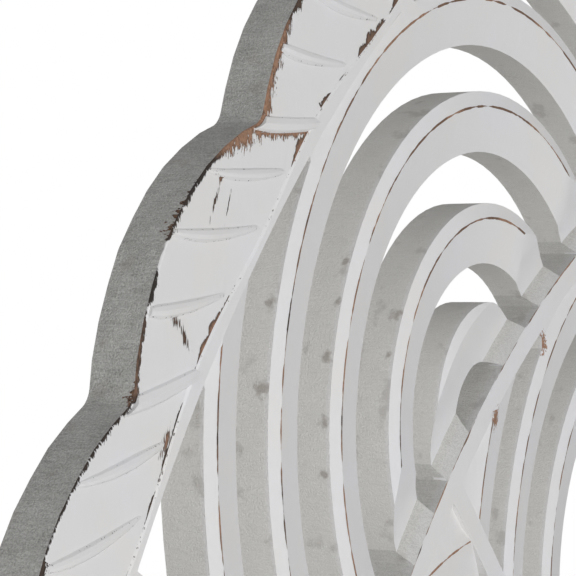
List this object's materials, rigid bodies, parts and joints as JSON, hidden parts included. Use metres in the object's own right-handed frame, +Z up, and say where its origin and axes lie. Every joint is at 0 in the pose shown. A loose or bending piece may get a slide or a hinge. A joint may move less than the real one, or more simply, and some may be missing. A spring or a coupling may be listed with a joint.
{
  "type": "wall panel",
  "caption": "Round openwork mandala wall panel in one board: lobed rim with fine ridges, rings of nested arches between flat rings, petals round a low boss, white distressed paint",
  "frame": {"origin": "the middle of the panel's flat back, where it is held to the wall", "axes": "+Z up, front of the panel towards -Y, back on the plane y = 0, +X to the right seen from the front"},
  "size_m": [1.1998, 0.016, 1.1998],
  "materials": {
    "painted_board": "satin white paint on fine fibreboard, worn brown along edges and ridges"
  },
  "bodies": {
    "root": {"mandala_panel": "painted_board"}
  },
  "joints": []
}
